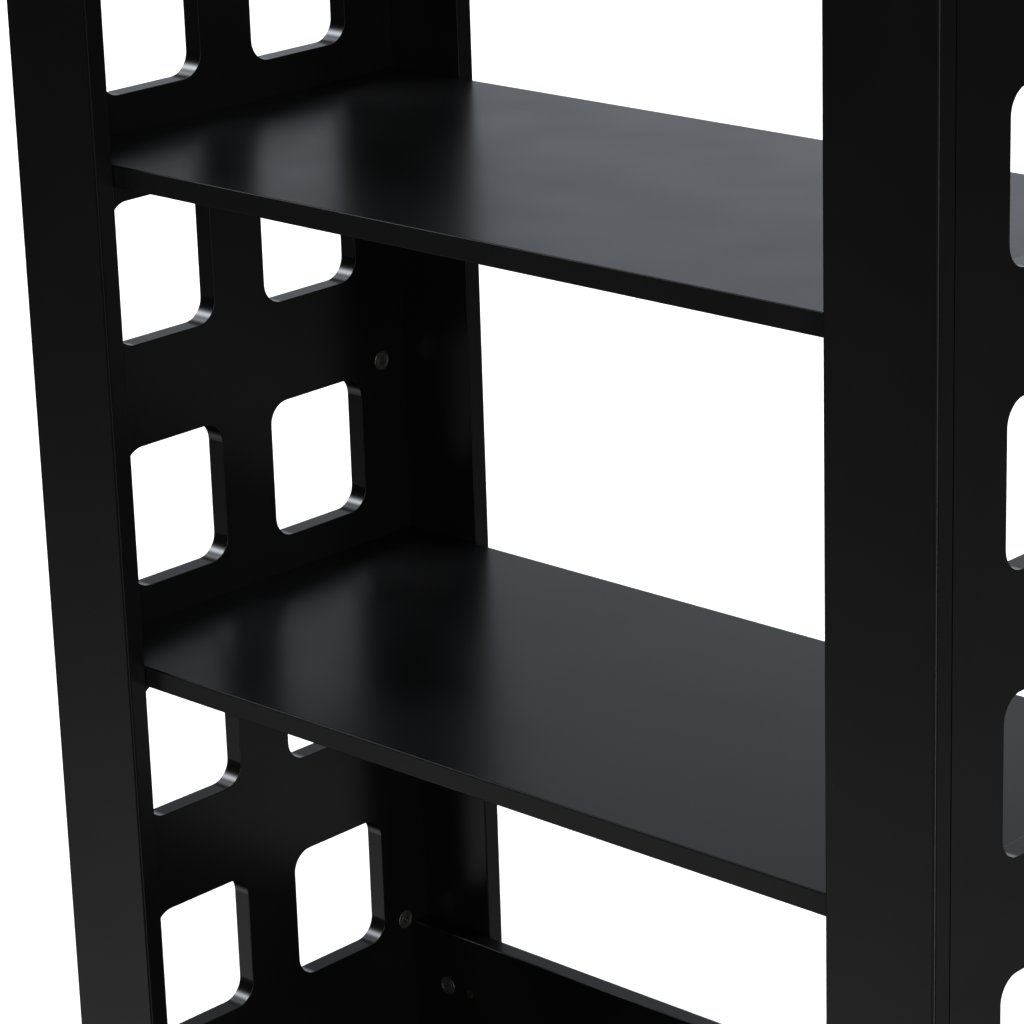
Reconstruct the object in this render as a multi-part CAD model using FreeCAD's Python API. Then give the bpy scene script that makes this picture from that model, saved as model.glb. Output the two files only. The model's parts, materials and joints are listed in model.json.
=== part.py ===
import FreeCAD, Part
import os

from FreeCAD import Vector

# Open-back display shelving unit: painted boards joined by cam locks, bolts and dowels.
# Frame: origin on the floor under the middle of the unit, +Z up, front towards -Y. All sizes in mm.

# Overall size and boards
WIDTH = 770.0
DEPTH = 360.0
HEIGHT = 1220.0
BOARD = 15.0
ARRIS = 1.0              # rounding of every exposed board edge
SEAM_GAP = 0.15          # joint line between two boards

# Uprights
FRONT_STILE_WIDTH = 80.0
REAR_STILE_WIDTH = 82.0
STILE_ARRIS = 2.0        # fuller rounding of the two long edges of a stile's outward face
GLIDE_HEIGHT = 4.0       # the boards stand this far above the floor

# Shelves
SHELF_PITCH = 355.0
BOTTOM_SHELF_TOP = 94.0

# Cut-outs in the side panels, two columns and two rows to each shelf bay
CUTOUT_LENGTH = 92.0
CUTOUT_HEIGHT = 103.0
CUTOUT_RADIUS = 16.0
CUTOUT_ARRIS = 0.5       # the rims are only just broken
CUTOUT_FRONT_MARGIN = 50.0
CUTOUT_COLUMN_GAP = 49.0
CUTOUT_ABOVE_SHELF = 27.0
CUTOUT_ROWS = 6
ROW_PITCH = SHELF_PITCH / 2

# Low rails
REAR_RAIL_HEIGHT = 92.0

# Cam locks: where they sit, and the drum with its dished face
CAM_TO_EDGE_STILE = 24.0
CAM_TO_EDGE_RAIL = 34.0
STILE_CAM_HEIGHTS = (190.0, 646.5, 1103.0)
SHELF_CAM_OFFSET = 110.0
CAM_DIAMETER = 15.0
CAM_DEPTH = 12.5
CAM_CHAMFER = 0.4
CAM_FIT = 0.1            # play of the cam in its pocket
CAM_RIM_WIDTH = 1.3
CAM_DISH_DEPTH = 0.5
CAM_HUB_DIAMETER = 7.2
CAM_CROSS_LENGTH = 6.0
CAM_CROSS_WIDTH = 1.3
CAM_CROSS_DEPTH = 3.2
CAM_CENTRE_DIAMETER = 3.0
CAM_MOUTH_BACK = 2.0     # how far past the cam's centre the mouth reaches

# Cam bolts, measured along the bolt from the cam's centre
BOLT_BORE_DIAMETER = 8.0
BOLT_HEAD_DIAMETER = 6.6
BOLT_HEAD_END = 1.2
BOLT_NECK_DIAMETER = 3.4
BOLT_NECK_END = 4.5
BOLT_SHANK_DIAMETER = 5.2
BOLT_COLLAR_DIAMETER = 7.6
BOLT_COLLAR_LENGTH = 2.5
BOLT_THREAD_LENGTH = 11.0
BOLT_THREAD_DIAMETER = 6.0
THREAD_GROOVES = 5
THREAD_PITCH = 2.0
THREAD_GROOVE_WIDTH = 0.7
THREAD_GROOVE_DEPTH = 0.5

# Dowels
DOWEL_DIAMETER = 8.0
DOWEL_LENGTH = 30.0
DOWEL_CHAMFER = 0.8
DOWEL_IN_FACE = 10.0     # the part of a dowel that stands in a board's face
SHELF_DOWEL_OFFSET = 55.0
STILE_DOWEL_HEIGHTS = (60.0, 418.0, 875.0, 1170.0)

# Rear rail screws
SCREW_FROM_END = 58.5
SCREW_LENGTH = 25.0
SCREW_DIAMETER = 3.5
SCREW_TIP_LENGTH = 4.0
SCREW_TIP_DIAMETER = 0.6
SCREW_HEAD_DIAMETER = 7.5
SCREW_HEAD_DEPTH = 2.4
SCREW_CROSS_LENGTH = 4.0
SCREW_CROSS_WIDTH = 0.9
SCREW_CROSS_DEPTH = 1.5

# Floor glides and their nails
GLIDE_DIAMETER = 14.0
GLIDE_INSET = 40.0
GLIDE_ROUNDING = 1.2
GLIDE_SOLE = 1.5         # plastic left under the nail's head
NAIL_DIAMETER = 2.0
NAIL_LENGTH = 16.0
NAIL_FIT = 0.02

# Allowances for holes
OVERCUT = 1.0            # how far a cutting tool runs past a face
HOLE_CLEARANCE = 0.5     # spare depth past the end of a dowel, bolt or screw
NEAR = 1e-6

# Worked-out planes
HALF_WIDTH = WIDTH / 2
HALF_DEPTH = DEPTH / 2
INNER_FACE = HALF_WIDTH - BOARD
PANEL_EDGE = HALF_DEPTH - BOARD
TOP_SHELF_TOP = HEIGHT
UPPER_SHELF_TOP = TOP_SHELF_TOP - SHELF_PITCH
LOWER_SHELF_TOP = UPPER_SHELF_TOP - SHELF_PITCH
SHELF_TOPS = {
    "shelf_bottom": BOTTOM_SHELF_TOP,
    "shelf_lower": LOWER_SHELF_TOP,
    "shelf_upper": UPPER_SHELF_TOP,
    "shelf_top": TOP_SHELF_TOP,
}
REAR_RAIL_TOP = BOTTOM_SHELF_TOP + REAR_RAIL_HEIGHT
REAR_RAIL_CENTRE = BOTTOM_SHELF_TOP + REAR_RAIL_HEIGHT / 2
KICK_RAIL_TOP = BOTTOM_SHELF_TOP - BOARD
KICK_RAIL_CENTRE = (KICK_RAIL_TOP + GLIDE_HEIGHT) / 2
SIDES = {"left": -1, "right": 1}

X = Vector(1, 0, 0)
Y = Vector(0, 1, 0)
Z = Vector(0, 0, 1)


def block(low, high):
    size = high - low
    return Part.makeBox(size.x, size.y, size.z, low)


def rod(start, direction, length, radius):
    return Part.makeCylinder(radius, length, start, direction)


def on_plane(edge, axis, value):
    return all(abs(getattr(v.Point, axis) - value) < NEAR for v in edge.Vertexes)


def full_circles(solid):
    return [e for e in solid.Edges if len(e.Vertexes) == 1]


def board(low, high, seams=()):
    """A board with rounded arrises; edges that lie on a seam plane stay crisp."""
    solid = block(low, high)
    soft = [e for e in solid.Edges if not any(on_plane(e, axis, value) for axis, value in seams)]
    return solid.makeFillet(ARRIS, soft)


def rounded_slot(x_low, x_high, y_low, z_low):
    """The rounded-square tool for one cut-out, running through the panel along X."""
    low = Vector(x_low, y_low, z_low)
    tool = block(low, Vector(x_high, y_low + CUTOUT_LENGTH, z_low + CUTOUT_HEIGHT))
    corners = [e for e in tool.Edges if e.BoundBox.XLength > NEAR]
    return tool.makeFillet(CUTOUT_RADIUS, corners)


def cutout_corners():
    """Low corners (y, z) of every cut-out."""
    first_column = -PANEL_EDGE + CUTOUT_FRONT_MARGIN
    lowest = LOWER_SHELF_TOP - SHELF_PITCH + CUTOUT_ABOVE_SHELF
    corners = []
    for column in range(2):
        for row in range(CUTOUT_ROWS):
            y = first_column + column * (CUTOUT_LENGTH + CUTOUT_COLUMN_GAP)
            corners.append((y, lowest + row * ROW_PITCH))
    return corners


def place(shape, position, face_normal, bolt_direction):
    """Moves a piece drawn with its face normal on +Z and its bolt on +X."""
    side = face_normal.cross(bolt_direction)
    matrix = FreeCAD.Matrix(
        bolt_direction.x, side.x, face_normal.x, position.x,
        bolt_direction.y, side.y, face_normal.y, position.y,
        bolt_direction.z, side.z, face_normal.z, position.z,
        0, 0, 0, 1)
    moved = shape.copy()
    moved.Placement = FreeCAD.Placement(matrix)
    return moved


def cam_lock():
    """Die-cast cam: rimmed drum with a cross recess in its face and a mouth for the bolt head."""
    radius = CAM_DIAMETER / 2 - CAM_FIT
    body = rod(Z * (CAM_FIT - CAM_DEPTH), Z, CAM_DEPTH - CAM_FIT, radius)
    body = body.makeChamfer(CAM_CHAMFER, [e for e in full_circles(body) if on_plane(e, "z", 0)])
    dish_floor = Z * -CAM_DISH_DEPTH
    dish = rod(dish_floor, Z, CAM_DISH_DEPTH, radius - CAM_RIM_WIDTH)
    body = body.cut(dish.cut(rod(dish_floor, Z, CAM_DISH_DEPTH, CAM_HUB_DIAMETER / 2)))
    half_cross = Vector(CAM_CROSS_LENGTH / 2, CAM_CROSS_WIDTH / 2, 0)
    for angle in (45, 135):
        slot = block(half_cross * -1 - Z * CAM_CROSS_DEPTH, half_cross)
        slot.rotate(Vector(0, 0, 0), Z, angle)
        body = body.cut(slot)
    body = body.cut(rod(Z * -CAM_CROSS_DEPTH, Z, CAM_CROSS_DEPTH, CAM_CENTRE_DIAMETER / 2))
    mouth = rod(Vector(-CAM_MOUTH_BACK, 0, -BOARD / 2), X, CAM_DIAMETER, BOLT_BORE_DIAMETER / 2)
    return body.cut(mouth)


def bolt_section(start, end, diameter):
    """Length of a cam bolt between two distances from the cam's centre."""
    return rod(Vector(start, 0, -BOARD / 2), X, end - start, diameter / 2)


def cam_bolt(reach):
    """Dowel bolt: head in the cam, shank through the board's end, thread in the mating face."""
    joint_face = reach - SEAM_GAP
    bolt = bolt_section(-BOLT_HEAD_END, BOLT_HEAD_END, BOLT_HEAD_DIAMETER).fuse([
        bolt_section(BOLT_HEAD_END, BOLT_NECK_END, BOLT_NECK_DIAMETER),
        bolt_section(BOLT_NECK_END, joint_face, BOLT_SHANK_DIAMETER),
        bolt_section(reach - BOLT_COLLAR_LENGTH, joint_face, BOLT_COLLAR_DIAMETER),
        bolt_section(joint_face, joint_face + BOLT_THREAD_LENGTH, BOLT_THREAD_DIAMETER),
    ])
    for turn in range(THREAD_GROOVES):
        start = reach + THREAD_PITCH * (turn + 0.5)
        groove = bolt_section(start, start + THREAD_GROOVE_WIDTH, BOLT_THREAD_DIAMETER + OVERCUT)
        root = BOLT_THREAD_DIAMETER - 2 * THREAD_GROOVE_DEPTH
        bolt = bolt.cut(groove.cut(bolt_section(start, start + THREAD_GROOVE_WIDTH, root)))
    return bolt


def cam_pocket(reach):
    """Hole for a cam and the bore from it to the board's end."""
    pocket = rod(Z * -CAM_DEPTH, Z, CAM_DEPTH + OVERCUT, CAM_DIAMETER / 2)
    return pocket.fuse(bolt_section(0, reach + OVERCUT, BOLT_BORE_DIAMETER))


def bolt_hole(reach):
    """Pilot hole for the bolt's thread in the face that the board's end meets."""
    return bolt_section(reach - OVERCUT, reach + BOLT_THREAD_LENGTH + HOLE_CLEARANCE, BOLT_THREAD_DIAMETER)


class Joint:
    """One cam joint: which board holds the cam, which holds the bolt, and where it sits."""

    def __init__(self, position, face_normal, bolt_direction, reach):
        self.where = (position, face_normal, bolt_direction)
        self.reach = reach

    def made(self, tool):
        return place(tool, *self.where)

    def cam(self):
        return self.made(cam_lock())

    def bolt(self):
        return self.made(cam_bolt(self.reach))

    def pocket(self):
        return self.made(cam_pocket(self.reach))

    def hole(self):
        return self.made(bolt_hole(self.reach))


def stile_joints(sign):
    """Cam joints from a side panel into its front and rear stiles."""
    joints = []
    for front_or_rear in (-1, 1):
        for height in STILE_CAM_HEIGHTS:
            y = front_or_rear * (PANEL_EDGE - CAM_TO_EDGE_STILE)
            position = Vector(sign * INNER_FACE, y, height)
            joints.append(Joint(position, X * -sign, Y * front_or_rear, CAM_TO_EDGE_STILE))
    return joints


def shelf_joints(top, sign):
    """Cam joints from the underside of a shelf into one side panel."""
    joints = []
    x = sign * (INNER_FACE - CAM_TO_EDGE_RAIL)
    for front_or_rear in (-1, 1):
        position = Vector(x, front_or_rear * SHELF_CAM_OFFSET, top - BOARD)
        joints.append(Joint(position, Z * -1, X * sign, CAM_TO_EDGE_RAIL))
    return joints


def rail_joint(sign, face_y, normal, height):
    """Cam joint from one end of a rail into a side panel."""
    position = Vector(sign * (INNER_FACE - CAM_TO_EDGE_RAIL), face_y, height)
    return Joint(position, normal, X * sign, CAM_TO_EDGE_RAIL)


def rear_rail_joint(sign):
    return rail_joint(sign, PANEL_EDGE - BOARD, Y * -1, REAR_RAIL_CENTRE)


def kick_rail_joint(sign):
    return rail_joint(sign, -PANEL_EDGE + BOARD, Y, KICK_RAIL_CENTRE)


def dowel(start, direction):
    """Beech dowel with chamfered ends."""
    pin = rod(start, direction, DOWEL_LENGTH, DOWEL_DIAMETER / 2)
    return pin.makeChamfer(DOWEL_CHAMFER, full_circles(pin))


def dowel_hole(start, direction):
    """Hole for a dowel, a little deeper than the dowel at each end."""
    low = start - direction * HOLE_CLEARANCE
    return rod(low, direction, DOWEL_LENGTH + 2 * HOLE_CLEARANCE, DOWEL_DIAMETER / 2)


def shelf_dowel_places(top, sign):
    """Start and direction of the dowels in one end of a shelf."""
    start_x = sign * (INNER_FACE + DOWEL_IN_FACE - DOWEL_LENGTH)
    middle = top - BOARD / 2
    return [(Vector(start_x, y, middle), X * sign) for y in (-SHELF_DOWEL_OFFSET, SHELF_DOWEL_OFFSET)]


def stile_dowel_places(sign):
    """Start and direction of the dowels between a side panel and its stiles."""
    places = []
    for front_or_rear in (-1, 1):
        start_y = front_or_rear * (PANEL_EDGE + DOWEL_IN_FACE - DOWEL_LENGTH)
        for height in STILE_DOWEL_HEIGHTS:
            start = Vector(sign * (HALF_WIDTH - BOARD / 2), start_y, height)
            places.append((start, Y * front_or_rear))
    return places


def rail_dowel_place(sign, middle_y, height):
    return Vector(sign * (INNER_FACE + DOWEL_IN_FACE - DOWEL_LENGTH), middle_y, height), X * sign


def rear_rail_dowel(sign):
    return rail_dowel_place(sign, PANEL_EDGE - BOARD / 2, REAR_RAIL_CENTRE - REAR_RAIL_HEIGHT / 4)


def kick_rail_dowel(sign):
    return rail_dowel_place(sign, -PANEL_EDGE + BOARD / 2, KICK_RAIL_CENTRE - CAM_DIAMETER)


def screw_front(sign):
    """Centre of a rear rail screw's head, in the rail's front face."""
    return Vector(sign * (INNER_FACE - SCREW_FROM_END), PANEL_EDGE - BOARD, REAR_RAIL_CENTRE)


def screw_head(front):
    return Part.makeCone(SCREW_HEAD_DIAMETER / 2, SCREW_DIAMETER / 2, SCREW_HEAD_DEPTH, front, Y)


def rear_rail_screw(sign):
    """Countersunk wood screw with a cross recess, through the rear rail into the rear stile."""
    front = screw_front(sign)
    shank_length = SCREW_LENGTH - SCREW_TIP_LENGTH
    shank = rod(front, Y, shank_length, SCREW_DIAMETER / 2)
    tip = Part.makeCone(SCREW_DIAMETER / 2, SCREW_TIP_DIAMETER / 2, SCREW_TIP_LENGTH,
                        front + Y * shank_length, Y)
    screw = shank.fuse([tip, screw_head(front)])
    for across, along in ((X, Z), (Z, X)):
        half_slot = across * (SCREW_CROSS_LENGTH / 2) + along * (SCREW_CROSS_WIDTH / 2)
        screw = screw.cut(block(front - half_slot, front + half_slot + Y * SCREW_CROSS_DEPTH))
    return screw


def screw_hole(sign):
    front = screw_front(sign)
    bore = rod(front, Y, SCREW_LENGTH + HOLE_CLEARANCE, SCREW_DIAMETER / 2)
    return screw_head(front).fuse(bore)


def glide_places():
    """Centres of the floor glides, in pairs under each side panel and one under each stile."""
    places = []
    for sign in SIDES.values():
        for front_or_rear in (-1, 1):
            under_panel = (HALF_WIDTH - BOARD / 2, PANEL_EDGE - GLIDE_INSET)
            under_stile = (INNER_FACE - GLIDE_INSET, HALF_DEPTH - BOARD / 2)
            for x, y in (under_panel, under_stile):
                places.append(Vector(sign * x, front_or_rear * y, 0))
    return places


def glide(centre):
    """Round plastic pad with a rounded foot and a hole for its nail."""
    pad = rod(centre, Z, GLIDE_HEIGHT - SEAM_GAP, GLIDE_DIAMETER / 2)
    pad = pad.makeFillet(GLIDE_ROUNDING, [e for e in full_circles(pad) if on_plane(e, "z", 0)])
    return pad.cut(rod(centre + Z * GLIDE_SOLE, Z, GLIDE_HEIGHT, NAIL_DIAMETER / 2))


def glide_nail(centre):
    return rod(centre + Z * (GLIDE_SOLE + NAIL_FIT), Z, NAIL_LENGTH, NAIL_DIAMETER / 2 - NAIL_FIT)


def nail_hole(centre):
    top = GLIDE_SOLE + NAIL_LENGTH + HOLE_CLEARANCE
    low = GLIDE_HEIGHT - OVERCUT
    return rod(centre + Z * low, Z, top - low, NAIL_DIAMETER / 2)


def cut_all(solid, tools):
    """Cuts the tools that reach the solid's box, leaving one clean solid."""
    near = [t for t in tools if t.BoundBox.intersect(solid.BoundBox)]
    return solid.cut(near) if near else solid


def side_panel(sign):
    """Upright board at one side, with its two columns of cut-outs."""
    inner = sign * INNER_FACE
    outer = sign * HALF_WIDTH
    edge = PANEL_EDGE - SEAM_GAP
    low = Vector(min(inner, outer), -edge, GLIDE_HEIGHT)
    high = Vector(max(inner, outer), edge, HEIGHT)
    solid = board(low, high, [("y", -edge), ("y", edge)])
    tools = [rounded_slot(low.x - OVERCUT, high.x + OVERCUT, y, z) for y, z in cutout_corners()]
    solid = solid.cut(tools)
    rims = [e for e in solid.Edges if is_cutout_rim(e)]
    solid = solid.makeFillet(CUTOUT_ARRIS, rims)
    tools = [joint.pocket() for joint in stile_joints(sign)]
    for top in SHELF_TOPS.values():
        tools += [joint.hole() for joint in shelf_joints(top, sign)]
        tools += [dowel_hole(*where) for where in shelf_dowel_places(top, sign)]
    tools += [rear_rail_joint(sign).hole(), kick_rail_joint(sign).hole()]
    tools += [dowel_hole(*rear_rail_dowel(sign)), dowel_hole(*kick_rail_dowel(sign))]
    tools += [dowel_hole(*where) for where in stile_dowel_places(sign)]
    tools += [nail_hole(centre) for centre in glide_places()]
    return cut_all(solid, tools)


def is_cutout_rim(edge):
    """True for an edge on a panel face that runs round a cut-out."""
    box = edge.BoundBox
    if box.XLength > NEAR or min(abs(abs(box.XMin) - x) for x in (INNER_FACE, HALF_WIDTH)) > NEAR:
        return False
    return any(y - NEAR < box.YMin and box.YMax < y + CUTOUT_LENGTH + NEAR
               and z - NEAR < box.ZMin and box.ZMax < z + CUTOUT_HEIGHT + NEAR
               for y, z in cutout_corners())


def stile(sign, front_or_rear, width):
    """Flat upright that covers a side panel's front or rear edge."""
    outer = sign * HALF_WIDTH
    inner = sign * (HALF_WIDTH - width)
    face = front_or_rear * HALF_DEPTH
    back = front_or_rear * PANEL_EDGE
    low = Vector(min(outer, inner), min(face, back), GLIDE_HEIGHT)
    high = Vector(max(outer, inner), max(face, back), HEIGHT)
    solid = block(low, high)
    long_edges = [e for e in solid.Edges if on_plane(e, "y", face) and e.BoundBox.ZLength > width]
    solid = solid.makeFillet(STILE_ARRIS, long_edges)
    others = [e for e in solid.Edges if on_plane(e, "y", back) or e.BoundBox.ZLength < width]
    solid = solid.makeFillet(ARRIS, others)
    tools = [joint.hole() for joint in stile_joints(sign)]
    tools += [dowel_hole(*where) for where in stile_dowel_places(sign)]
    tools += [nail_hole(centre) for centre in glide_places()]
    if front_or_rear > 0:
        tools.append(screw_hole(sign))
    return cut_all(solid, tools)


def shelf(top):
    """Fixed shelf between the side panels and between the stiles."""
    end = INNER_FACE - SEAM_GAP
    edge = PANEL_EDGE - SEAM_GAP
    low = Vector(-end, -edge, top - BOARD)
    high = Vector(end, edge, top)
    solid = board(low, high, [("x", -end), ("x", end)])
    tools = []
    for sign in SIDES.values():
        tools += [joint.pocket() for joint in shelf_joints(top, sign)]
        tools += [dowel_hole(*where) for where in shelf_dowel_places(top, sign)]
    return cut_all(solid, tools)


def rail(y_low, y_high, z_low, z_high, joint, dowel_place, extra=()):
    """Narrow board on edge between the side panels."""
    end = INNER_FACE - SEAM_GAP
    solid = board(Vector(-end, y_low, z_low), Vector(end, y_high, z_high), [("x", -end), ("x", end)])
    tools = list(extra)
    for sign in SIDES.values():
        tools.append(joint(sign).pocket())
        tools.append(dowel_hole(*dowel_place(sign)))
    return cut_all(solid, tools)


def rear_rail():
    screws = [screw_hole(sign) for sign in SIDES.values()]
    return rail(PANEL_EDGE - BOARD, PANEL_EDGE - SEAM_GAP, BOTTOM_SHELF_TOP + SEAM_GAP, REAR_RAIL_TOP,
                rear_rail_joint, rear_rail_dowel, screws)


def kick_rail():
    return rail(-PANEL_EDGE + SEAM_GAP, -PANEL_EDGE + BOARD, GLIDE_HEIGHT, KICK_RAIL_TOP - SEAM_GAP,
                kick_rail_joint, kick_rail_dowel)


def group(solids):
    return Part.makeCompound(solids)


def build():
    nodes = {}
    for name, sign in SIDES.items():
        nodes["side_panel_" + name] = side_panel(sign)
        nodes["front_stile_" + name] = stile(sign, -1, FRONT_STILE_WIDTH)
        nodes["rear_stile_" + name] = stile(sign, 1, REAR_STILE_WIDTH)
        joints = stile_joints(sign)
        nodes["stile_cams_" + name] = group([joint.cam() for joint in joints])
        nodes["stile_cam_bolts_" + name] = group([joint.bolt() for joint in joints])
        nodes["stile_dowels_" + name] = group([dowel(*where) for where in stile_dowel_places(sign)])
        bolts = []
        dowels = []
        for top in SHELF_TOPS.values():
            bolts += [joint.bolt() for joint in shelf_joints(top, sign)]
            dowels += [dowel(*where) for where in shelf_dowel_places(top, sign)]
        nodes["shelf_cam_bolts_" + name] = group(bolts)
        nodes["shelf_dowels_" + name] = group(dowels)
    for name, top in SHELF_TOPS.items():
        nodes[name] = shelf(top)
        cams = [joint.cam() for sign in SIDES.values() for joint in shelf_joints(top, sign)]
        nodes[name + "_cams"] = group(cams)
    nodes["rear_rail"] = rear_rail()
    nodes["kick_rail"] = kick_rail()
    for name, joint in (("rear_rail", rear_rail_joint), ("kick_rail", kick_rail_joint)):
        nodes[name + "_cams"] = group([joint(sign).cam() for sign in SIDES.values()])
        nodes[name + "_cam_bolts"] = group([joint(sign).bolt() for sign in SIDES.values()])
    rail_dowels = [rear_rail_dowel(sign) for sign in SIDES.values()]
    rail_dowels += [kick_rail_dowel(sign) for sign in SIDES.values()]
    nodes["rail_dowels"] = group([dowel(*where) for where in rail_dowels])
    nodes["rear_rail_screws"] = group([rear_rail_screw(sign) for sign in SIDES.values()])
    nodes["floor_glides"] = group([glide(centre) for centre in glide_places()])
    nodes["glide_nails"] = group([glide_nail(centre) for centre in glide_places()])
    return nodes


os.makedirs("parts", exist_ok=True)
for node, shape in build().items():
    if not shape.isValid():
        raise ValueError(node + " isn't valid")
    shape.exportStep("parts/" + node + ".step")
    box = shape.BoundBox
    size = [round(length, 1) for length in (box.XLength, box.YLength, box.ZLength)]
    print(node, len(shape.Solids), "solids, size", size)
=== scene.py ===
import json
import math

import bpy
from mathutils import Matrix, Vector


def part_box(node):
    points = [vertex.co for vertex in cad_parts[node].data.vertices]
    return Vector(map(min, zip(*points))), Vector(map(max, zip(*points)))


# Lengths are in metres and angles in degrees.

# The viewpoint
VIEW_AZIMUTH = 43.54
VIEW_ELEVATION = 18.65
VIEW_ROLL = 1.83
VIEW_DISTANCE = 2.507
AIM_LEFT_OF_MIDDLE = 0.0565
AIM_FRONT_OF_MIDDLE = 0.0536
AIM_ABOVE_LOWER_SHELF = 0.1346
LENS_MM = 134.1
SENSOR_MM = 36.0
CLIP_END = 100.0

# The soft lights round the unit: name, azimuth, elevation, tightness, brightness, colour
BLUISH = (0.92, 0.985, 1.08)
COOL = (0.93, 0.98, 1.05)
NEUTRAL = (1.0, 1.0, 1.0)
SOFT_LIGHTS = (
    ("key box on the left", 292, 39, 75, 15.0, COOL),
    ("far side of the key box", 260, 34, 75, 6.5, COOL),
    ("box on the right", 60, 13, 45, 5.4, NEUTRAL),
    ("box on the right off the floor", 59, -25, 110, 4.3, NEUTRAL),
    ("backdrop", 213, 1, 14.5, 1.02, BLUISH),
    ("ceiling at the back", 160, 44, 16, 1.3, BLUISH),
    ("floor at the front left", 312, -35, 55, 1.02, NEUTRAL),
    ("floor in front", 5, -24, 30, 0.35, NEUTRAL),
    ("floor at the back right", 135, -30, 45, 0.4, NEUTRAL),
)

# The axes that the dowels lie along
X, Y = 0, 1

# The floor, and the overhead light that only the floor receives
FLOOR_SIZE = 60.0
FLOOR_GREY = 0.9
FLOOR_LIGHT_STRENGTH = 3.6
FLOOR_LIGHT_ANGLE = 100.0

# Where a board's edge, arris and face lie: the share of the normal that points along its thickness
EDGE_TO_FACE = (0.15, 0.6)
EDGE_TO_HIGHLIGHT_ARRIS = (0.02, 0.2)
EDGE_TO_DULL_ARRIS = (0.05, 0.25)
DULL_ARRIS_TO_FACE = (0.93, 0.995)

# The black lacquer. The first three go by the board's thin axis. The edges are rougher than the faces, but
# the walls of the cut-outs are glossier. The arrises of the shelves and of one stile are set duller,
# to match how little they shine; no wear was seen there
EDGE_ROUGHNESS = (-0.08, 0.03, 0.03)
ARRIS_SPECULAR = (0.5, 0.5, 0.12)
BOARD_NAMES = ("black_lacquer_x", "black_lacquer_y", "black_lacquer_z")
DULL_STILE = "front_stile_left"
DULL_NAME = "black_lacquer_worn"
DULL_ARRIS_SPECULAR = 0.15
LACQUER_SPECULAR = 0.5
LACQUER_IOR = 1.5
LACQUER_DARK = (0.0066, 0.0066, 0.0069)
LACQUER_PALE = (0.0092, 0.0091, 0.0092)
TONE_PER_METRE = 9.0
# A painted highlight: a lighter tone laid in patches along the arrises for their shine; it is not wear
ARRIS_HIGHLIGHT_COLOUR = (0.022, 0.021, 0.020)
ARRIS_HIGHLIGHT_PER_METRE = 55.0
ARRIS_HIGHLIGHT_AT_MOST = 0.7
DUST_COLOUR = (0.12, 0.12, 0.115)
DUST_PER_METRE = 43.0
DUST_SPECK = 0.014
HANDLED_ROUGHNESS = (0.279, 0.303)
HANDLED_PER_METRE = 13.0
HANDLED_STRETCH = (1.0, 1.0, 1.6)

# Each relief is its repeats per metre and its height
LACQUER_WAVES = (18.0, 0.00003)
LACQUER_PEEL = (420.0, 0.00001)
EDGE_FIBRES = (1600.0, 0.000004)
CAST_GRAIN = (2600.0, 0.00004)
PLATED_GRAIN = (4200.0, 0.00001)
BEECH_GRAIN = (900.0, 0.0001)
MOULDED_TEXTURE = (2400.0, 0.00004)

# The metals' mottling, the beech and the plastic of the glides
MOTTLE_PER_METRE = 240.0
BEECH_DARK = (0.40, 0.25, 0.13)
BEECH_PALE = (0.62, 0.44, 0.26)
BEECH_ROUGHNESS = (0.55, 0.7)
BEECH_ALONG_GRAIN = 0.06
FLECK_COLOUR = (0.27, 0.15, 0.07)
FLECK_PER_METRE = 2600.0
FLECK_AT_MOST = 0.35
PLASTIC_DARK = (0.022, 0.022, 0.023)
PLASTIC_PALE = (0.045, 0.044, 0.043)
PLASTIC_ROUGHNESS = (0.45, 0.62)
SCUFF_PER_METRE = 320.0
SCUFF_STRETCH = (1.0, 4.0, 1.0)

# Parts of a noise's range: nearly all of it, a little less, and only its upper part
NOISE_RANGE = (0.28, 0.72)
NARROW_NOISE_RANGE = (0.3, 0.7)
UPPER_NOISE_RANGE = (0.45, 0.75)

# The numbers of a Mix node's colour sockets
MIX_FIRST, MIX_SECOND, MIX_RESULT = 6, 7, 2


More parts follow.
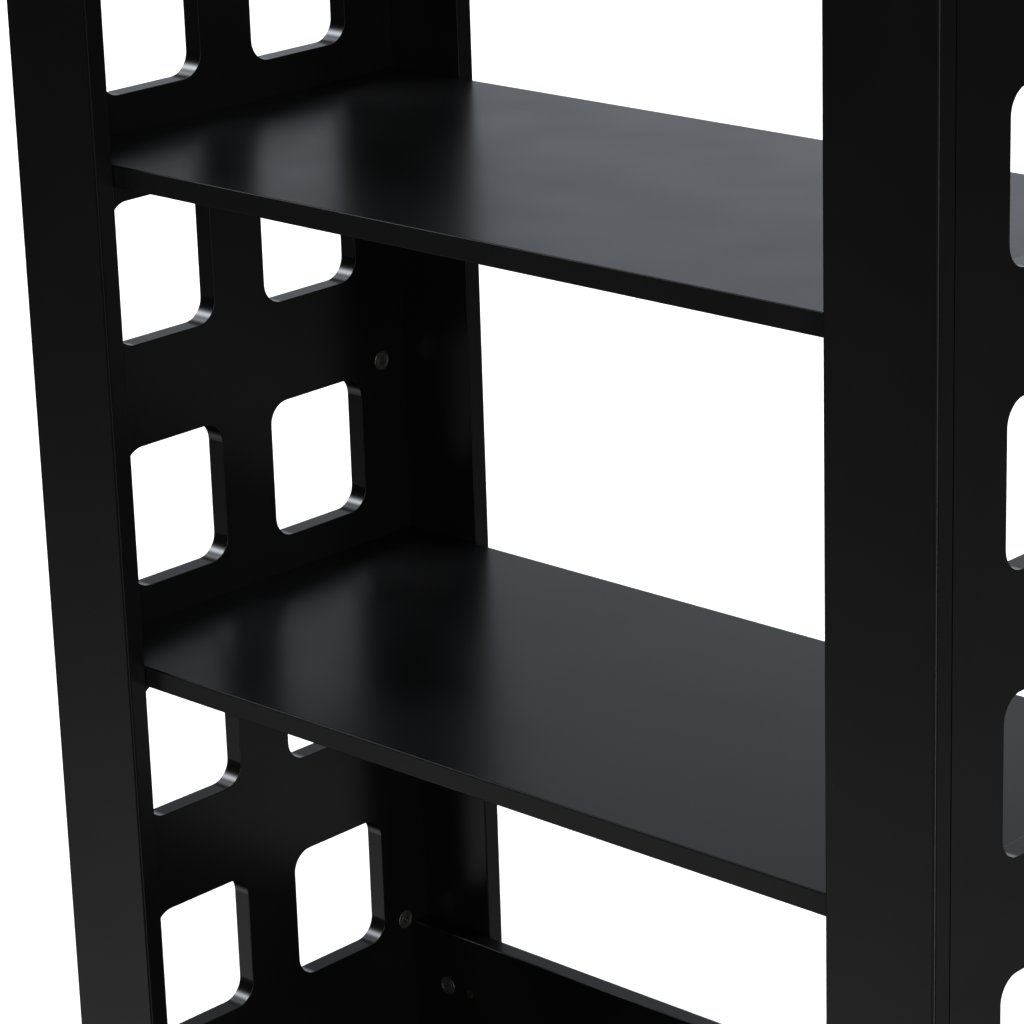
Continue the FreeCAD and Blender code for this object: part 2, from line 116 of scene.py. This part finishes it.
class Tree:
    """Adds and joins the nodes of one material or world."""

    def __init__(self, owner):
        owner.use_nodes = True
        self.tree = owner.node_tree
        self.tree.nodes.clear()

    def add(self, kind, inputs=None, **settings):
        """A new node; each input is a socket to link or a value to set."""
        node = self.tree.nodes.new("ShaderNode" + kind)
        for name, value in settings.items():
            setattr(node, name, value)
        for key, value in (inputs or {}).items():
            if isinstance(value, bpy.types.NodeSocket):
                self.tree.links.new(value, node.inputs[key])
            else:
                node.inputs[key].default_value = value
        return node

    def calculate(self, operation, first, second=0.0, third=0.0):
        return self.add("Math", {0: first, 1: second, 2: third}, operation=operation).outputs[0]

    def noise(self, where, per_metre, detail):
        return self.add("TexNoise", {"Vector": where, "Scale": per_metre, "Detail": detail}).outputs["Fac"]

    def stretched(self, where, scale):
        return self.add("Mapping", {"Vector": where, "Scale": scale}).outputs[0]

    def ease(self, value, span, low=0.0, high=1.0):
        """Eases from low to high while the value crosses the span."""
        inputs = {"Value": value, "From Min": span[0], "From Max": span[1], "To Min": low, "To Max": high}
        return self.add("MapRange", inputs, interpolation_type="SMOOTHSTEP").outputs[0]

    def spread(self, noise, low=0.0, high=1.0):
        """A noise value turned into the range from low to high."""
        return self.ease(noise, NOISE_RANGE, low, high)

    def blend(self, amount, first, second):
        """The first colour, turned into the second by the amount."""
        node = self.add("Mix", {0: amount}, data_type="RGBA")
        for socket, value in ((node.inputs[MIX_FIRST], first), (node.inputs[MIX_SECOND], second)):
            if isinstance(value, bpy.types.NodeSocket):
                self.tree.links.new(value, socket)
            else:
                socket.default_value = (*value, 1.0)
        return node.outputs[MIX_RESULT]

    def bump(self, height, distance, below=None):
        inputs = {"Height": height, "Distance": distance, "Strength": 1.0}
        if below is not None:
            inputs["Normal"] = below
        return self.add("Bump", inputs).outputs[0]

    def relief(self, where, repeats_and_height, detail, below=None, amount=1.0):
        """A noise used as a bump, on top of the one below and only as far as the amount says."""
        per_metre, height = repeats_and_height
        shape = self.calculate("MULTIPLY", self.noise(where, per_metre, detail), amount)
        return self.bump(shape, height, below)

    def finish(self, **sockets):
        """The Principled shader and the material's output."""
        inputs = {name.replace("_", " "): value for name, value in sockets.items()}
        shader = self.add("BsdfPrincipled", inputs)
        self.add("OutputMaterial", {"Surface": shader.outputs[0]})


def direction(azimuth, elevation):
    a, e = math.radians(azimuth), math.radians(elevation)
    return Vector((math.sin(a) * math.cos(e), -math.cos(a) * math.cos(e), math.sin(e)))


def make_camera():
    """A long lens that frames the middle of the unit from the front right, a little above."""
    back = direction(VIEW_AZIMUTH, VIEW_ELEVATION)
    level_right = direction(VIEW_AZIMUTH + 90, 0)
    level_up = back.cross(level_right)
    roll = math.radians(VIEW_ROLL)
    right = level_right * math.cos(roll) - level_up * math.sin(roll)
    up = back.cross(right)
    shelf_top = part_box("shelf_lower")[1].z
    aim = Vector((-AIM_LEFT_OF_MIDDLE, -AIM_FRONT_OF_MIDDLE, shelf_top + AIM_ABOVE_LOWER_SHELF))
    camera = bpy.data.objects.new("camera", bpy.data.cameras.new("camera"))
    camera.data.lens = LENS_MM
    camera.data.sensor_width = SENSOR_MM
    camera.data.clip_end = CLIP_END
    axes = Matrix((right, up, back)).transposed()
    camera.matrix_world = Matrix.Translation(aim + back * VIEW_DISTANCE) @ axes.to_4x4()
    bpy.context.scene.collection.objects.link(camera)
    bpy.context.scene.camera = camera


def make_world():
    """Soft round lights on a dark surround, and plain white where the camera looks past the floor."""
    world = bpy.data.worlds.new("studio")
    bpy.context.scene.world = world
    nodes = Tree(world)
    looking = nodes.add("TexCoord").outputs["Generated"]
    total = (0.0, 0.0, 0.0)
    for name, azimuth, elevation, tightness, brightness, colour in SOFT_LIGHTS:
        inputs = {0: looking, 1: direction(azimuth, elevation)}
        facing = nodes.add("VectorMath", inputs, operation="DOT_PRODUCT").outputs["Value"]
        falloff = nodes.calculate("MULTIPLY_ADD", facing, tightness, -tightness)
        strength = nodes.calculate("MULTIPLY", nodes.calculate("EXPONENT", falloff), brightness)
        inputs = {0: colour, "Scale": strength}
        light = nodes.add("VectorMath", inputs, operation="SCALE", label=name).outputs[0]
        total = nodes.add("VectorMath", {0: total, 1: light}, operation="ADD").outputs[0]
    lights = nodes.add("Background", {"Color": total, "Strength": 1.0}).outputs[0]
    white = nodes.add("Background", {"Color": (1, 1, 1, 1), "Strength": 1.0}).outputs[0]
    seen = nodes.add("LightPath").outputs["Is Camera Ray"]
    shown = nodes.add("MixShader", {0: seen, 1: lights, 2: white}).outputs[0]
    nodes.add("OutputWorld", {"Surface": shown})


def make_floor():
    """A plain pale floor with its own overhead light; the unit's gloss comes from the soft lights alone."""
    half = FLOOR_SIZE / 2
    mesh = bpy.data.meshes.new("floor")
    corners = [(-half, -half, 0), (half, -half, 0), (half, half, 0), (-half, half, 0)]
    mesh.from_pydata(corners, [], [(0, 1, 2, 3)])
    floor = bpy.data.objects.new("floor", mesh)
    bpy.context.scene.collection.objects.link(floor)
    floor.visible_glossy = False
    floor.visible_diffuse = False
    floor.visible_shadow = False
    material = bpy.data.materials.new("pale_floor")
    nodes = Tree(material)
    nodes.finish(Base_Color=(FLOOR_GREY, FLOOR_GREY, FLOOR_GREY, 1), Roughness=1.0, Specular_IOR_Level=0.0)
    mesh.materials.append(material)

    lamp = bpy.data.objects.new("floor_light", bpy.data.lights.new("floor_light", "SUN"))
    lamp.data.energy = FLOOR_LIGHT_STRENGTH
    lamp.data.angle = math.radians(FLOOR_LIGHT_ANGLE)
    bpy.context.scene.collection.objects.link(lamp)
    only_floor = bpy.data.collections.new("lit_by_floor_light")
    only_floor.objects.link(floor)
    lamp.light_linking.receiver_collection = only_floor


def lacquer(name, thin_axis, arris_specular):
    """Satin black lacquer on fibreboard; thin_axis is the board's thickness, so its edges can be told."""
    material = bpy.data.materials.new(name)
    nodes = Tree(material)
    coords = nodes.add("TexCoord")
    where = coords.outputs["Object"]
    along_thickness = nodes.add("SeparateXYZ", {0: coords.outputs["Normal"]}).outputs[thin_axis]
    flatness = nodes.calculate("ABSOLUTE", along_thickness)
    on_edge = nodes.ease(flatness, EDGE_TO_FACE, low=1.0, high=0.0)
    on_arris = nodes.calculate("MULTIPLY", on_edge, nodes.ease(flatness, EDGE_TO_HIGHLIGHT_ARRIS))

    tone = nodes.ease(nodes.noise(where, TONE_PER_METRE, detail=3.0), NARROW_NOISE_RANGE)
    colour = nodes.blend(tone, LACQUER_DARK, LACQUER_PALE)
    # Painted highlight: the arrises are made lighter in patches, standing in for the shine of the rounded
    # edges
    highlight_patches = nodes.noise(where, ARRIS_HIGHLIGHT_PER_METRE, detail=4.0)
    painted_highlight = nodes.ease(highlight_patches, UPPER_NOISE_RANGE, high=ARRIS_HIGHLIGHT_AT_MOST)
    colour = nodes.blend(nodes.calculate("MULTIPLY", on_arris, painted_highlight), colour, ARRIS_HIGHLIGHT_COLOUR)
    to_speck = nodes.add("TexVoronoi", {"Vector": where, "Scale": DUST_PER_METRE}).outputs["Distance"]
    colour = nodes.blend(nodes.calculate("LESS_THAN", to_speck, DUST_SPECK), colour, DUST_COLOUR)

    handling = nodes.noise(nodes.stretched(where, HANDLED_STRETCH), HANDLED_PER_METRE, detail=1.0)
    face_roughness = nodes.ease(handling, NARROW_NOISE_RANGE, *HANDLED_ROUGHNESS)
    rougher = nodes.calculate("MULTIPLY", on_edge, EDGE_ROUGHNESS[thin_axis])
    roughness = nodes.calculate("ADD", face_roughness, rougher)

    off_edge = nodes.ease(flatness, EDGE_TO_DULL_ARRIS)
    off_face = nodes.ease(flatness, DULL_ARRIS_TO_FACE, low=1.0, high=0.0)
    between = nodes.calculate("MULTIPLY", off_edge, off_face)
    specular = nodes.ease(between, (0.0, 1.0), LACQUER_SPECULAR, arris_specular)

    surface = nodes.relief(where, LACQUER_WAVES, detail=0.0)
    surface = nodes.relief(where, LACQUER_PEEL, detail=1.0, below=surface)
    surface = nodes.relief(where, EDGE_FIBRES, detail=2.0, below=surface, amount=on_edge)
    nodes.finish(
        Base_Color=colour, Roughness=roughness, Specular_IOR_Level=specular, IOR=LACQUER_IOR, Normal=surface
    )
    return material


def metal(name, dark, pale, roughness, grain):
    """Cast or plated metal with a mottled tone and a fine grain."""
    material = bpy.data.materials.new(name)
    nodes = Tree(material)
    where = nodes.add("TexCoord").outputs["Object"]
    mottle = nodes.noise(where, MOTTLE_PER_METRE, detail=4.0)
    per_metre, depth = grain
    grains = nodes.noise(where, per_metre, detail=3.0)
    nodes.finish(
        Base_Color=nodes.blend(nodes.spread(mottle), dark, pale),
        Roughness=nodes.spread(grains, *roughness),
        Metallic=1.0,
        Normal=nodes.bump(grains, depth),
    )
    return material


def cast_zinc():
    """The dull die-cast zinc of the cam locks."""
    return metal(
        "cast_zinc",
        dark=(0.25, 0.245, 0.235),
        pale=(0.44, 0.43, 0.41),
        roughness=(0.42, 0.58),
        grain=CAST_GRAIN,
    )


def zinc_plate():
    """The bright plating of the cam bolts and nails."""
    return metal(
        "zinc_plate",
        dark=(0.50, 0.50, 0.51),
        pale=(0.68, 0.68, 0.67),
        roughness=(0.24, 0.36),
        grain=PLATED_GRAIN,
    )


def yellow_zinc():
    """The yellow-passivated plating of the screws."""
    return metal(
        "yellow_zinc",
        dark=(0.24, 0.20, 0.12),
        pale=(0.40, 0.34, 0.22),
        roughness=(0.34, 0.48),
        grain=PLATED_GRAIN,
    )


def beech(along):
    """Straight-grained beech with its grain and flutes along one axis."""
    material = bpy.data.materials.new("beech_" + "xy"[along])
    nodes = Tree(material)
    stretch = [1.0, 1.0, 1.0]
    stretch[along] = BEECH_ALONG_GRAIN
    where = nodes.stretched(nodes.add("TexCoord").outputs["Object"], stretch)
    per_metre, depth = BEECH_GRAIN
    grain = nodes.noise(where, per_metre, detail=4.0)
    flecks = nodes.noise(where, FLECK_PER_METRE, detail=2.0)
    colour = nodes.blend(nodes.spread(grain), BEECH_DARK, BEECH_PALE)
    nodes.finish(
        Base_Color=nodes.blend(nodes.spread(flecks, high=FLECK_AT_MOST), colour, FLECK_COLOUR),
        Roughness=nodes.spread(grain, *BEECH_ROUGHNESS),
        Normal=nodes.bump(grain, depth),
    )
    return material


def moulded_plastic():
    """Matt black polyethylene with a fine moulded texture and scuffs."""
    material = bpy.data.materials.new("black_polyethylene")
    nodes = Tree(material)
    where = nodes.add("TexCoord").outputs["Object"]
    scuffs = nodes.noise(nodes.stretched(where, SCUFF_STRETCH), SCUFF_PER_METRE, detail=4.0)
    nodes.finish(
        Base_Color=nodes.blend(nodes.spread(scuffs), PLASTIC_DARK, PLASTIC_PALE),
        Roughness=nodes.spread(scuffs, *PLASTIC_ROUGHNESS),
        Normal=nodes.relief(where, MOULDED_TEXTURE, detail=1.0),
    )
    return material


def dress_nodes(frame):
    """Gives every CAD node its material."""
    boards = [lacquer(name, axis, ARRIS_SPECULAR[axis]) for axis, name in enumerate(BOARD_NAMES)]
    dull_board = lacquer(DULL_NAME, Y, DULL_ARRIS_SPECULAR)
    dowels = {axis: beech(axis) for axis in (X, Y)}
    others = {
        "cam_zinc": cast_zinc(),
        "bolt_steel": zinc_plate(),
        "screw_steel": yellow_zinc(),
        "glide_plastic": moulded_plastic(),
    }
    for part in frame["record"]["subparts"]:
        node, slot = part["node"], part["material_slot"]
        low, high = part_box(node)
        size = high - low
        thin_axis = min(range(3), key=lambda axis: size[axis])
        if node == DULL_STILE:
            material = dull_board
        elif slot == "black_board":
            material = boards[thin_axis]
        elif slot == "dowel_beech":
            material = dowels[Y if node.startswith("stile") else X]
        else:
            material = others[slot]
        mesh = frame["nodes"][node].data
        mesh.materials.clear()
        mesh.materials.append(material)


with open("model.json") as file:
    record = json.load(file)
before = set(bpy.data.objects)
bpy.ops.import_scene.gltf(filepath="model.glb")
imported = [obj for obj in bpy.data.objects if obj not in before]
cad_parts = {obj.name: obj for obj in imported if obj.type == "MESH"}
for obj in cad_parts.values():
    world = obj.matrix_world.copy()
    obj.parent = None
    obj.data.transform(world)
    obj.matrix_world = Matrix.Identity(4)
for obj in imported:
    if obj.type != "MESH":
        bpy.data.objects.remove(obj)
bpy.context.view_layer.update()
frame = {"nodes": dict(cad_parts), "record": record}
make_camera()
make_world()
make_floor()
dress_nodes(frame)
bpy.context.scene.view_settings.view_transform = "Standard"
